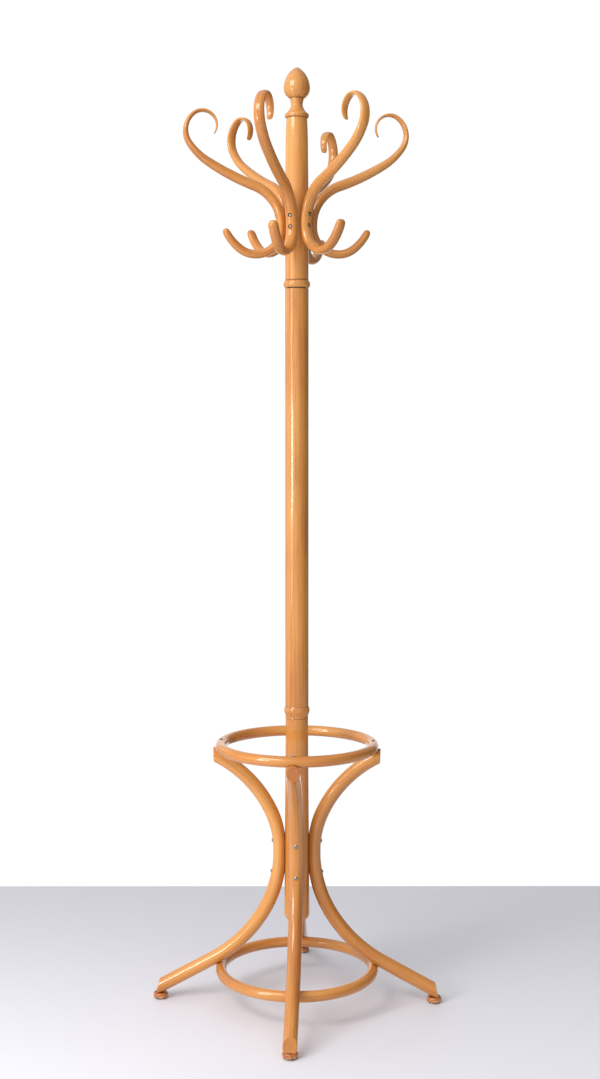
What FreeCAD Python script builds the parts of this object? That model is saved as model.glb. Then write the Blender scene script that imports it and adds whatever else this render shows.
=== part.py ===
"""Free-standing bentwood coat stand: a turned three-piece post, a revolving head with six S-shaped
hooks and a finial, four bent legs on turned foot buttons, an umbrella ring and a foot ring.

Frame: millimetres, +Z up, origin on the floor under the middle of the post. The legs lie along
+X, +Y, -X and -Y. A piece that stands off the axis is made in the plane of +X and turned about Z.
"""
import FreeCAD, Part
import math
import os
import Sketcher

Vector = FreeCAD.Vector
Rotation = FreeCAD.Rotation
UP = Vector(0, 0, 1)

SIZES = {
    # heights above the floor
    "stand_height": 1900, "finial_height": 100, "swivel_height": 1464, "splice_height": 592,
    "post_end_height": 173, "umbrella_ring_height": 534, "foot_ring_height": 67.5,
    # turned post
    "post_diameter": 48, "head_diameter": 47.4, "head_top_diameter": 41.6, "head_swell_diameter": 45.4,
    "swell_drop": 62, "swell_radius": 1000, "taper_height": 176,
    "bead_diameter": 54.4, "bead_height": 15,
    "splice_cove_diameter": 50, "splice_cove_height": 9.5, "splice_cove_radius": 12,
    "splice_groove_height": 24, "splice_bead_radius": 15.6,
    "base_top_diameter": 46.2, "base_end_diameter": 52.2, "base_foot_diameter": 41.6,
    "base_end_radius": 15, "base_end_height": 13,
    "washer_thickness": 1.5, "washer_diameter": 38,
    # finial
    "egg_diameter": 53, "egg_middle": 59, "egg_low_radius": 22.7, "egg_side_radius": 47,
    "egg_shoulder_diameter": 14, "egg_shoulder_height": 97,
    "lip_diameter": 29, "lip_height": 39, "neck_diameter": 23.8, "neck_height": 25.5, "flare_radius": 40,
    "collar_diameter": 49, "collar_step_diameter": 43, "collar_height": 10,
    "ogee_radius": 30, "tenon_diameter": 18, "tenon_length": 32,
    # steel pins
    "pin_diameter": 12, "pin_length": 120, "pin_clearance": 0.05, "pin_end_gap": 2,
    # where the bent rods sit on the post
    "leg_seat_radius": 36, "leg_seat_low": 306.5, "leg_seat_high": 320.5,
    "hook_seat_radius": 32, "hook_seat_low": 1581.5, "hook_seat_high": 1588,
    # cut ends of the legs
    "leg_foot_run": 150, "leg_foot_reach": 295, "leg_foot_rake": 12, "leg_top_reach": 171,
    "leg_top_cut_height": 450, "cutter_size": 100,
    # rings and feet
    "ring_diameter": 22.4, "umbrella_ring_radius": 156.4, "foot_ring_radius": 157,
    "foot_reach": 284, "foot_diameter": 30, "foot_thickness": 13, "foot_edge_radius": 4.5,
    "foot_flat_diameter": 21, "foot_bore_diameter": 9, "foot_bore_depth": 5,
    # screws: heights, then head diameter, head rise, shank diameter, length under the head
    "hook_screw_low": 1584, "hook_screw_high": 1606, "hook_screw_low_face": 39.3, "hook_screw_high_face": 41.6,
    "hook_screw_recess": 8.6, "recess_length": 12,
    "leg_screw_low": 271, "leg_screw_high": 336, "leg_screw_low_face": 51.6, "leg_screw_high_face": 49.2,
    "foot_ring_screw_tilt": 60,
    "hook_screw_head": 7.2, "hook_screw_rise": 2, "hook_screw_shank": 4.5, "hook_screw_length": 28,
    "leg_screw_head": 9.5, "leg_screw_rise": 3.2, "leg_screw_shank": 6, "leg_screw_length": 40,
    "ring_screw_head": 8, "ring_screw_rise": 2, "ring_screw_shank": 4.5, "ring_screw_length": 36,
    "foot_screw_head": 8, "foot_screw_rise": 2, "foot_screw_shank": 4, "foot_screw_length": 24,
}

# Each run of a bent rod leaves its seat upright, then bends by (radius, angle) in turn.
# A negative angle bends back towards the post.
BENDS = {
    "hook_up": [(82, 70.4), (474, -12.5), (123, -22.7), (43.5, -88), (28, -164)],
    "hook_down": [(51.8, 128.8), (103.4, 26.6)],
    "leg_up": [(181, 26.3), (245, 42)],
    "leg_down": [(230, 30), (284, 31.5)],
}

# Oval sections of the bent rods: distance along the rod from its seat, width across, depth in the bend.
SECTIONS = {
    "hook": [(-164.4, 15, 11), (-160, 20.5, 15.4), (-120, 21.6, 17.2), (-60, 22.4, 17.2), (0, 24.4, 19),
             (50, 24, 19.6), (105, 22.8, 20.4), (150, 22.4, 19.6), (195, 22.4, 17.8), (235, 22.2, 14.6),
             (271, 21.4, 11.8), (300, 20.4, 9.6), (326, 19.4, 8), (350, 18, 6.4), (375, 15.5, 4.8),
             (399.8, 12, 2.8)],
    "leg": [(-420, 28.4, 28.4), (-60, 28.6, 28.4), (0, 29, 25.6), (60, 28.6, 28.4), (250, 28.4, 28.4)],
}

SECTION_TURN = math.radians(13)  # the most that a rod bends from one section to the next
SECTION_RUN = 32                 # and the farthest apart that two sections stand
LOFT_STRAY = 1                   # the most that a loft may stand outside the box of its sections

# How each hook is set on the head: its turn about the post, its tilt towards the post, and its lift.
HOOK_MOUNTS = [(10, 0, 3), (72, 0, 0), (134, 4.2, 8.5), (192, 0, 0), (254, 0.8, -3.3), (309, 2, 0)]
LEG_TURNS = {"front": -90, "right": 0, "back": 90, "left": 180}
SHEET = "Sizes"

for run, bends in BENDS.items():
    for number, (radius, angle) in enumerate(bends, start=1):
        SIZES[f"{run}_radius_{number}"] = radius
        SIZES[f"{run}_angle_{number}"] = abs(angle)
for rod, sections in SECTIONS.items():
    for number, (station, width, depth) in enumerate(sections, start=1):
        SIZES[f"{rod}_width_{number}"] = width
        SIZES[f"{rod}_depth_{number}"] = depth
for number, (turn, tilt, lift) in enumerate(HOOK_MOUNTS, start=1):
    SIZES[f"hook_turn_{number}"] = turn
    SIZES[f"hook_tilt_{number}"] = tilt
    SIZES[f"hook_lift_{number}"] = lift

doc = FreeCAD.newDocument("coat_stand")
sheet = doc.addObject("Spreadsheet::Sheet", SHEET)
for row, (alias, value) in enumerate(SIZES.items(), start=1):
    sheet.set(f"A{row}", alias)
    sheet.set(f"B{row}", str(value))
    sheet.setAlias(f"B{row}", alias)
doc.recompute()


def expression(text):
    """The text with every cell name in it written as a reference to the sheet."""
    words = text.replace("(", "( ").replace(")", " )").split()
    return " ".join(f"{SHEET}.{word}" if word in SIZES else word for word in words)


def size(text):
    """The value of an expression over the sheet's cells."""
    return float(sheet.evalExpression(expression(text)))


def bind(piece, **properties):
    """Binds properties of a piece to expressions over the sheet's cells; __ in a name stands for a dot."""
    for name, text in properties.items():
        piece.setExpression(name.replace("__", "."), expression(text))


# ---------------------------------------------------------------- turned pieces

def arc_centre(start, end, radius, side):
    """Centre of an arc of that radius from start to end, on the left (side 1) or the right (side -1)."""
    chord = end - start
    left = Vector(-chord.y, chord.x, 0).normalize()
    return (start + end) * 0.5 + left * (side * math.sqrt(radius ** 2 - (chord.Length / 2) ** 2))


def pin_down(sketch, number, end, corner):
    """Holds one end of a sketched line or arc at the place that the corner's two expressions give."""
    for kind, axis, text in (("DistanceX", -2, corner[0]), ("DistanceY", -1, corner[1])):
        if text == "0":
            sketch.addConstraint(Sketcher.Constraint("PointOnObject", number, end, axis))
            continue
        index = sketch.addConstraint(Sketcher.Constraint(kind, -1, 1, number, end, size(text)))
        sketch.setExpression(f"Constraints[{index}]", expression(text))


def dome(width, rise):
    """Expression for the radius of a dome of that width and rise."""
    return f"{width} * {width} / ( 8 * {rise} ) + {rise} / 2"


def draw_outline(sketch, corners):
    """Draws a closed outline. A corner is (x, y), or (x, y, radius, side) where an arc leads to it."""
    places = [Vector(size(corner[0]), size(corner[1]), 0) for corner in corners]
    ends = []
    for number, corner in enumerate(corners):
        start, end = places[number - 1], places[number]
        if len(corner) == 2:
            sketch.addGeometry(Part.LineSegment(start, end), False)
            ends.append((1, 2))
            continue
        radius, side = size(corner[2]), corner[3]
        centre = arc_centre(start, end, radius, side)
        first, last = (start, end) if side > 0 else (end, start)
        begin, finish = (math.atan2(p.y - centre.y, p.x - centre.x) for p in (first, last))
        if finish < begin:
            finish += 2 * math.pi
        sketch.addGeometry(Part.ArcOfCircle(Part.Circle(centre, UP, radius), begin, finish), False)
        ends.append((1, 2) if side > 0 else (2, 1))
    for number, corner in enumerate(corners):
        following = (number + 1) % len(corners)
        join = Sketcher.Constraint("Coincident", number, ends[number][1], following, ends[following][0])
        sketch.addConstraint(join)
        pin_down(sketch, number, ends[number][1], corner)
        if len(corner) > 2:
            index = sketch.addConstraint(Sketcher.Constraint("Radius", number, size(corner[2])))
            sketch.setExpression(f"Constraints[{index}]", expression(corner[2]))


def turned(name, corners, axis="V_Axis"):
    """A body turned from an outline in its XZ plane about its own Z axis, or X with axis H_Axis."""
    body = doc.addObject("PartDesign::Body", name)
    sketch = body.newObject("Sketcher::SketchObject", name + "_outline")
    plane = next(feature for feature in body.Origin.OriginFeatures if feature.Role == "XZ_Plane")
    sketch.AttachmentSupport = [(plane, "")]
    sketch.MapMode = "FlatFace"
    draw_outline(sketch, corners)
    doc.recompute()
    turning = body.newObject("PartDesign::Revolution", name + "_turning")
    turning.Profile = sketch
    turning.ReferenceAxis = (sketch, [axis])
    turning.Angle = 360
    body.Tip = turning
    doc.recompute()
    return body


def finial():
    """Egg on a slim neck and a rounded collar, with a tenon that goes down into the head."""
    neck, tenon = "neck_diameter / 2", "tenon_diameter / 2"
    collar = dome("collar_height", "( ( collar_diameter - collar_step_diameter ) / 2 )")
    tip = dome("egg_shoulder_diameter", "( finial_height - egg_shoulder_height )")
    body = turned("finial", [
        ("0", "0 - tenon_length"),
        (tenon, "0 - tenon_length"),
        (tenon, "0"),
        ("collar_step_diameter / 2", "0"),
        ("collar_step_diameter / 2", "collar_height", collar, 1),
        (neck, "neck_height", "ogee_radius", -1),
        ("lip_diameter / 2", "lip_height", "flare_radius", -1),
        ("egg_diameter / 2", "egg_middle", "egg_low_radius", 1),
        ("egg_shoulder_diameter / 2", "egg_shoulder_height", "egg_side_radius", 1),
        ("0", "finial_height", tip, 1),
    ])
    bind(body, Placement__Base__z="stand_height - finial_height")
    return body


def head_post():
    """Revolving top of the post: a bead at its foot, a bore for the pin, and one for the finial's tenon."""
    bore, tenon = "pin_diameter / 2 + pin_clearance", "tenon_diameter / 2"
    top = "stand_height - finial_height - swivel_height"
    tenon_floor = f"{top} - tenon_length - pin_end_gap"
    bore_end = "pin_length / 2 - washer_thickness + pin_end_gap"
    bead = dome("bead_height", "( ( bead_diameter - post_diameter ) / 2 )")
    body = turned("head_turned", [
        (bore, "0"),
        ("post_diameter / 2", "0"),
        ("post_diameter / 2", "bead_height", bead, 1),
        ("head_diameter / 2", "bead_height"),
        ("head_diameter / 2", "taper_height"),
        ("head_swell_diameter / 2", f"{top} - swell_drop"),
        ("head_top_diameter / 2", top, "swell_radius", 1),
        (tenon, top),
        (tenon, tenon_floor),
        ("0", tenon_floor),
        ("0", bore_end),
        (bore, bore_end),
    ])
    bind(body, Placement__Base__z="swivel_height")
    return body


def mid_post():
    """Long plain middle of the post, with a bead over a cove at its foot and a pin's bore at each end."""
    bore = "pin_diameter / 2"
    top = "swivel_height - splice_height - washer_thickness"
    body = turned("mid_post", [
        (bore, "0"),
        ("head_diameter / 2", "0"),
        ("splice_cove_diameter / 2", "splice_cove_height", "splice_cove_radius", -1),
        ("post_diameter / 2", "splice_groove_height", "splice_bead_radius", 1),
        ("post_diameter / 2", top),
        (bore, top),
        (bore, f"{top} - pin_length / 2"),
        ("0", f"{top} - pin_length / 2"),
        ("0", "pin_length / 2"),
        (bore, "pin_length / 2"),
    ])
    bind(body, Placement__Base__z="splice_height")
    return body


def lower_post():
    """Bottom of the post, wider towards its rounded end, which hangs clear of the floor between the legs."""
    bore, top = "pin_diameter / 2", "splice_height - post_end_height"
    body = turned("lower_turned", [
        ("0", "0"),
        ("base_foot_diameter / 2", "0"),
        ("base_end_diameter / 2", "base_end_height", "base_end_radius", 1),
        ("base_top_diameter / 2", top),
        (bore, top),
        (bore, f"{top} - pin_length / 2"),
        ("0", f"{top} - pin_length / 2"),
    ])
    bind(body, Placement__Base__z="post_end_height")
    return body


def washer():
    """Thrust washer that the head turns on."""
    inner, outer = "pin_diameter / 2 + pin_clearance", "washer_diameter / 2"
    body = turned("thrust_washer", [
        (inner, "0"),
        (outer, "0"),
        (outer, "washer_thickness"),
        (inner, "washer_thickness"),
    ])
    bind(body, Placement__Base__z="swivel_height - washer_thickness")
    return body


def pin(name, middle):
    """Plain steel pin whose half length is on each side of a height."""
    cylinder = doc.addObject("Part::Cylinder", name)
    bind(cylinder, Radius="pin_diameter / 2", Height="pin_length",
         Placement__Base__z=f"{middle} - pin_length / 2")
    return cylinder


def foot_button():
    """Turned wooden button under a leg, with a bore from below that hides its screw."""
    bore, shank, flat = "foot_bore_diameter / 2", "foot_screw_shank / 2", "foot_flat_diameter / 2"
    side = "foot_diameter / 2"
    body = turned("foot_button", [
        (shank, "foot_bore_depth"),
        (bore, "foot_bore_depth"),
        (bore, "0"),
        (flat, "0"),
        (side, "foot_edge_radius", "foot_edge_radius", 1),
        (side, "foot_thickness - foot_edge_radius"),
        (flat, "foot_thickness", "foot_edge_radius", 1),
        (shank, "foot_thickness"),
    ])
    bind(body, Placement__Base__x="foot_reach")
    return body


# ---------------------------------------------------------------- screws

def screw(name, kind, face="0"):
    """Round-headed screw that lies along X: the flat side of its head is at x = face, its point inwards."""
    shank = f"{kind}_shank / 2"
    return turned(name, [
        (f"{face} - {kind}_length", "0"),
        (f"{face} - {kind}_length + {kind}_shank", shank),
        (face, shank),
        (face, f"{kind}_head / 2"),
        (f"{face} + {kind}_rise", "0", dome(f"{kind}_head", f"{kind}_rise"), -1),
    ], axis="H_Axis")


def tilted_screw(name, kind, tilt, x, z, lift):
    """Screw whose head is lifted from (x, z) along its own line, tilted from +X towards +Z by an angle."""
    body = screw(name, kind, lift)
    body.Placement.Rotation = Rotation(Vector(0, -1, 0), tilt)
    bind(body, Placement__Base__x=x, Placement__Base__z=z)
    return body


def copy(name, piece, placement):
    """A linked copy of a piece, moved from where the piece is."""
    link = doc.addObject("App::Link", name)
    link.LinkedObject = piece
    link.LinkTransform = True
    link.Placement = placement
    return link


def group(name, placed):
    """One node of (piece, turn about Z in degrees) pairs, each of them a solid of its own."""
    node = doc.addObject("Part::Compound", name)
    node.Links = [copy(f"{name}_{number}", piece, FreeCAD.Placement(Vector(), Rotation(UP, turn)))
                  for number, (piece, turn) in enumerate(placed, start=1)]
    return node


# ---------------------------------------------------------------- bent rods

def follow(run, point, heading, outward):
    """Arcs of a run of bends from a point: [centre, radius, heading before, signed turn] for each."""
    arcs = []
    for number, (_, angle) in enumerate(BENDS[run], start=1):
        radius = size(f"{run}_radius_{number}")
        turn = math.radians(size(f"{run}_angle_{number}")) * math.copysign(1, angle) * outward
        side = math.copysign(radius, turn)
        centre = point + Vector(-math.sin(heading), math.cos(heading), 0) * side
        arcs.append((centre, radius, heading, turn))
        heading += turn
        point = centre + Vector(math.sin(heading), -math.cos(heading), 0) * side
    return arcs


def stations(arcs, straight=0):
    """Distances, points and headings along a run, a section apart, with its straight end last."""
    places, before = [], 0
    for centre, radius, heading, turn in arcs:
        steps = math.ceil(max(abs(turn) / SECTION_TURN, radius * abs(turn) / SECTION_RUN))
        side = math.copysign(radius, turn)
        for step in range(1, steps + 1):
            now = heading + turn * step / steps
            point = centre + Vector(math.sin(now), -math.cos(now), 0) * side
            places.append((before + radius * abs(turn) * step / steps, point, now))
        before += radius * abs(turn)
    steps = math.ceil(straight / SECTION_RUN)
    along = Vector(math.cos(now), math.sin(now), 0)
    for step in range(1, steps + 1):
        ahead = straight * step / steps
        places.append((before + ahead, point + along * ahead, now))
    return places


def between(name, what, distance):
    """Expression for a rod's width or depth at a distance from its seat, between the two listed there."""
    listed = [entry[0] for entry in SECTIONS[name]]
    upper = next((k for k, station in enumerate(listed) if station >= distance), len(listed) - 1)
    upper = max(upper, 1)
    share = (distance - listed[upper - 1]) / (listed[upper] - listed[upper - 1])
    share = round(min(max(share, 0), 1), 4)
    low, high = f"{name}_{what}_{upper}", f"{name}_{what}_{upper + 1}"
    return f"( {low} * {1 - share:.4f} + {high} * {share:.4f} ) / 2"


def bent_rod(name, straight="0"):
    """A bent rod in the plane of +X: a loft through oval sections square to its path of tangent arcs."""
    seat = f"{name}_seat_radius"
    low, high = (Vector(size(seat), size(f"{name}_seat_{level}"), 0) for level in ("low", "high"))
    up = follow(f"{name}_up", high, math.pi / 2, -1)
    down = follow(f"{name}_down", low, -math.pi / 2, 1)

    rising = [(0, high, math.pi / 2)] + stations(up)
    falling = [(0, low, -math.pi / 2)] + stations(down, size(straight))
    places = [(-distance, point, heading + math.pi) for distance, point, heading in reversed(falling)]
    ovals = []
    for number, (distance, point, heading) in enumerate(places + rising, start=1):
        oval = doc.addObject("Part::Ellipse", f"{name}_section_{number}")
        bind(oval, MajorRadius=between(name, "width", distance),
             MinorRadius=between(name, "depth", distance))
        tangent = Vector(math.cos(heading), 0, math.sin(heading))
        turning = Rotation(Vector(0, 1, 0), Vector(), tangent, "ZXY")
        oval.Placement = FreeCAD.Placement(Vector(point.x, 0, point.y), turning)
        ovals.append(oval)
    rod = doc.addObject("Part::Loft", name + "_rod")
    rod.Sections = ovals
    rod.Solid = True
    doc.recompute()
    check_loft(rod)
    return rod


def check_loft(rod):
    """Stops the build if a loft swings out between its sections, which a valid shape can still do."""
    box = FreeCAD.BoundBox()
    for section in rod.Sections:
        box.add(section.Shape.BoundBox)
    box.enlarge(LOFT_STRAY)
    surface_box = rod.Shape.optimalBoundingBox(False, False)
    if not box.isInside(surface_box):
        raise SystemExit(f"{rod.Name} strays from its sections: {surface_box}")


def ring(name, radius, height):
    """A rod bent into a closed circle around the post."""
    torus = doc.addObject("Part::Torus", name)
    bind(torus, Radius1=radius, Radius2="ring_diameter / 2", Placement__Base__z=height)
    return torus


def cutter(name, x, z, lean=None):
    """A block whose near lower edge lies along Y through (x, z), leaning back over it by an angle."""
    block = doc.addObject("Part::Box", name)
    if lean:
        block.Placement.Rotation = Rotation(Vector(0, -1, 0), size(lean))
    bind(block, Length="cutter_size", Width="cutter_size", Height="cutter_size",
         Placement__Base__x=x, Placement__Base__y="0 - cutter_size / 2", Placement__Base__z=z)
    return block


def fused(name, pieces):
    """Several pieces as one tool for a cut."""
    tool = doc.addObject("Part::MultiFuse", name)
    tool.Shapes = pieces
    return tool


def cut(name, base, tool):
    """The base less the tool."""
    node = doc.addObject("Part::Cut", name)
    node.Base = base
    node.Tool = tool
    return node


def level_screws(kind):
    """A hook's or a leg's two screws into the post, one above the other."""
    pair = []
    for level in ("low", "high"):
        body = screw(f"{kind}_{level}", kind, f"{kind}_{level}_face")
        bind(body, Placement__Base__z=f"{kind}_{level}")
        pair.append(body)
    return pair


def recess(kind, level):
    """The drilled hole, open outwards, that a sunk screw's head sits in."""
    hole = doc.addObject("Part::Cylinder", f"{kind}_{level}_recess")
    hole.Placement.Rotation = Rotation(Vector(0, 1, 0), 90)
    bind(hole, Radius=f"{kind}_recess / 2", Height="recess_length",
         Placement__Base__x=f"{kind}_{level}_face", Placement__Base__z=f"{kind}_{level}")
    return hole


def hook_place(number):
    """Where a hook and its screws go: lifted, and tilted about the middle of the hook's seat."""
    seat = Vector(size("hook_seat_radius"), 0, size("( hook_seat_low + hook_seat_high ) / 2"))
    tilt = Rotation(Vector(0, -1, 0), size(f"hook_tilt_{number}"))
    return FreeCAD.Placement(Vector(0, 0, size(f"hook_lift_{number}")), tilt, seat)


def head_nodes():
    """The pieces of the revolving head: its post, finial, hooks and their screws."""
    turned_post = head_post()
    screws = level_screws("hook_screw")
    recesses = [recess("hook_screw", level) for level in ("low", "high")]
    drilled = cut("hook_drilled", bent_rod("hook"), fused("hook_drill", screws + recesses))
    hooks, placed_screws = [], []
    for number in range(1, len(HOOK_MOUNTS) + 1):
        turn, place = size(f"hook_turn_{number}"), hook_place(number)
        seated = cut(f"hook_{number}_seated", copy(f"hook_{number}_rod", drilled, place), turned_post)
        hooks.append(group(f"hook_{number}", [(seated, turn)]))
        placed_screws += [(copy(f"hook_{number}_{body.Name}", body, place), turn) for body in screws]
    screw_group = group("hook_screws", placed_screws)
    return [finial(), cut("head_post", turned_post, screw_group), screw_group] + hooks


def base_nodes():
    """The pieces that stand still: post, pins, legs, rings, feet and their screws."""
    turns = list(LEG_TURNS.values())
    turned_post = lower_post()
    umbrella_ring = ring("umbrella_ring_rod", "umbrella_ring_radius", "umbrella_ring_height")
    foot_ring = ring("foot_ring_rod", "foot_ring_radius", "foot_ring_height")
    button = foot_button()

    screws = level_screws("leg_screw")
    umbrella_screw = tilted_screw("umbrella_ring_screw", "ring_screw", 90, "umbrella_ring_radius",
                                  "umbrella_ring_height", "ring_diameter / 2")
    foot_ring_screw = tilted_screw("foot_ring_screw", "ring_screw", size("foot_ring_screw_tilt") - 180,
                                   "foot_ring_radius", "foot_ring_height", "ring_diameter / 2")
    foot_screw = tilted_screw("foot_screw", "foot_screw", -90, "foot_reach", "foot_bore_depth", "0")
    leg_screws = group("leg_screws", [(body, turn) for turn in turns for body in screws])
    umbrella_screws = group("umbrella_ring_screws", [(umbrella_screw, turn) for turn in turns])
    foot_ring_screws = group("foot_ring_screws", [(foot_ring_screw, turn) for turn in turns])
    foot_screws = group("foot_screws", [(foot_screw, turn) for turn in turns])

    rod = bent_rod("leg", "leg_foot_run")
    floor_cutter = cutter("floor_cutter", "leg_foot_reach - cutter_size / 2", "foot_thickness - cutter_size")
    end_cutter = cutter("end_cutter", "leg_foot_reach", "0", "leg_foot_rake")
    top_cutter = cutter("top_cutter", "leg_top_reach", "leg_top_cut_height")
    tool = fused("leg_tool", [turned_post, umbrella_ring, foot_ring, umbrella_screw, foot_ring_screw,
                              foot_screw, floor_cutter, end_cutter, top_cutter] + screws)
    shaped = cut("leg_shaped", rod, tool)
    legs = [group(f"{name}_leg", [(shaped, turn)]) for name, turn in LEG_TURNS.items()]
    feet = [group(f"{name}_foot", [(button, turn)]) for name, turn in LEG_TURNS.items()]
    return [
        mid_post(),
        cut("lower_post", turned_post, leg_screws),
        washer(),
        pin("spindle", "swivel_height - washer_thickness"),
        pin("post_stud", "splice_height"),
        cut("umbrella_ring", umbrella_ring, umbrella_screws),
        cut("foot_ring", foot_ring, foot_ring_screws),
        leg_screws,
        umbrella_screws,
        foot_ring_screws,
        foot_screws,
    ] + legs + feet


def check(nodes):
    """Stops the build if anything in the document failed, or a node is not sound."""
    failed = [piece.Name for piece in doc.Objects if {"Invalid", "Error"} & set(piece.State)]
    unsound = [node.Label for node in nodes if node.Shape.isNull() or not node.Shape.isValid()]
    if failed or unsound:
        raise SystemExit(f"failed: {failed}, unsound: {unsound}")


def write(nodes):
    """Writes each node's shape to parts/ under its label."""
    os.makedirs("parts", exist_ok=True)
    for node in nodes:
        node.Shape.exportStep(os.path.join("parts", node.Label + ".step"))
        print(f"{node.Label}: {len(node.Shape.Solids)} solid(s), {node.Shape.Volume / 1000:.1f} cm3")


stand = head_nodes() + base_nodes()
doc.recompute()
check(stand)
write(stand)
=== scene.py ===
"""Looks of the standing coat rack: lacquered bentwood and turned beech, steel screws, a pale studio.

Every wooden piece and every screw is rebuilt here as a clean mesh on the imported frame's own sizes, with
the grain running along the wood, and stands for its CAD node. Lengths in the tables are millimetres.
"""

import math
import random

import bmesh
import bpy
import numpy as np
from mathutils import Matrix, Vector


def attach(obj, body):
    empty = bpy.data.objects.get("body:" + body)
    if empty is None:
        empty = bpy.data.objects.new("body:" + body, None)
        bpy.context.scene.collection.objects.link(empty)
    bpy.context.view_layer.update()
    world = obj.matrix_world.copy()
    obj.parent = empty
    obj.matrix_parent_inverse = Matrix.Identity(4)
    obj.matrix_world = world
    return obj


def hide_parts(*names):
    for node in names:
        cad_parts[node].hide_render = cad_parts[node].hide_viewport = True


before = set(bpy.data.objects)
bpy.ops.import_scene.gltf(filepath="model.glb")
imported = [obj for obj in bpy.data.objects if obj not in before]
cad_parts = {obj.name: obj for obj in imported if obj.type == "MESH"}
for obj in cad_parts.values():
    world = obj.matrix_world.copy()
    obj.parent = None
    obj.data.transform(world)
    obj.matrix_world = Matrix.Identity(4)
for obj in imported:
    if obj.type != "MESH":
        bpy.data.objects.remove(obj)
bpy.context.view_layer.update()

MM = 0.001
SEED = 7
LEG_TURNS = {"front": -90, "right": 0, "back": 90, "left": 180}
# How each hook is set on the head: its turn about the post, its tilt towards the post, and its lift.
HOOK_MOUNTS = [(10, 0, 3), (72, 0, 0), (134, 4.2, 8.5), (192, 0, 0), (254, 0.8, -3.3), (309, 2, 0)]
TURNED_SIDES = 112      # facets around a turned piece
ROD_SIDES = 48          # facets around a bent rod
ROD_STEP = 3.0          # distance between a rod's rings
SHARP_EDGE = 25         # degrees that an outline has to turn by to count as a corner


# ---------------------------------------------------------------- sizes, as the CAD has them

SWIVEL, SPLICE, POST_END, TOP = 1464.0, 592.0, 173.0, 1900.0
FINIAL_FOOT = TOP - 100

UMBRELLA_RING = {"radius": 156.4, "height": 534.0}
FOOT_RING = {"radius": 157.0, "height": 67.5}
RING_TUBE = 11.2

# Bends of each run of a rod from its seat: (radius, angle); a negative angle turns back to the post.
HOOK = {
    "seat": (32.0, 1581.5, 1588.0),
    "up": [(82, 70.4), (474, -12.5), (123, -22.7), (43.5, -88), (28, -164)],
    "down": [(51.8, 128.8), (103.4, 26.6)],
    "run": 0.0,
    "sections": [(-164.4, 15, 11), (-160, 20.5, 15.4), (-120, 21.6, 17.2), (-60, 22.4, 17.2), (0, 24.4, 19),
                 (50, 24, 19.6), (105, 22.8, 20.4), (150, 22.4, 19.6), (195, 22.4, 17.8), (235, 22.2, 14.6),
                 (271, 21.4, 11.8), (300, 20.4, 9.6), (326, 19.4, 8), (350, 18, 6.4), (375, 15.5, 4.8),
                 (399.8, 12, 2.8)],
}
LEG = {
    "seat": (36.0, 306.5, 320.5),
    "up": [(181, 26.3), (245, 42)],
    "down": [(230, 30), (284, 31.5)],
    "run": 150.0,
    "sections": [(-420, 28.4, 28.4), (-60, 28.6, 28.4), (0, 29, 25.6), (60, 28.6, 28.4),
                 (250, 28.4, 28.4)],
}
HOOK_SCREWS = [(39.3, 1584.0), (41.6, 1606.0)]      # where the heads rest: distance out, height
HOOK_RECESS = 8.6
DRILL_LENGTH = 12
LEG_TOP_REACH = 171.0
LEG_FOOT_REACH, LEG_FOOT_RAKE = 295.0, 12.0
FOOT = {"reach": 284.0, "thickness": 13.0, "bore_depth": 5.0}


# ---------------------------------------------------------------- outlines and paths

STRAIGHT_STEPS = 20                 # a straight run's rows are this many arc steps apart
LONG_RUN = 12
END_ROWS = (0.8, 1.6, 3.0, 5.0)     # extra rows near the ends of a long straight run


def trace(corners, step):
    """Points along an outline of (r, z) corners; (r, z, radius, side) is reached by an arc."""
    points = [np.array(corners[0][:2], float)]
    for corner in corners[1:]:
        start, end = points[-1], np.array(corner[:2], float)
        chord = end - start
        length = np.hypot(*chord)
        if len(corner) == 2:
            count = max(1, round(length / (STRAIGHT_STEPS * step)))
            shares = {k / count for k in range(1, count + 1)}
            if length > LONG_RUN:
                shares |= {near / length for near in END_ROWS} | {1 - near / length for near in END_ROWS}
            points += [start + chord * share for share in sorted(shares)]
            continue
        radius, side = corner[2:]
        left = np.array([-chord[1], chord[0]]) / length
        centre = (start + end) / 2 + left * side * math.sqrt(max(radius ** 2 - (length / 2) ** 2, 0))
        begin = math.atan2(*(start - centre)[::-1])
        sweep = 2 * math.asin(min(length / 2 / radius, 1)) * side
        count = max(3, math.ceil(abs(sweep) * radius / step))
        for k in range(1, count + 1):
            angle = begin + sweep * k / count
            points.append(centre + radius * np.array([math.cos(angle), math.sin(angle)]))
    return np.array(points)


def eased(points, size):
    """The same outline with each sharp corner rounded over a short stretch each side of it."""
    out = [points[0]]
    for before, here, after in zip(points, points[1:], points[2:]):
        into, away = here - before, after - here
        turn = abs(math.atan2(into[0] * away[1] - into[1] * away[0], into @ away))
        if turn < math.radians(SHARP_EDGE):
            out.append(here)
            continue
        reach = min(size, 0.45 * np.hypot(*into), 0.45 * np.hypot(*away))
        first = here - into / np.hypot(*into) * reach
        last = here + away / np.hypot(*away) * reach
        for t in (0, 0.25, 0.5, 0.75, 1):
            out.append((1 - t) ** 2 * first + 2 * t * (1 - t) * here + t ** 2 * last)
    out.append(points[-1])
    return np.array(out)


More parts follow.
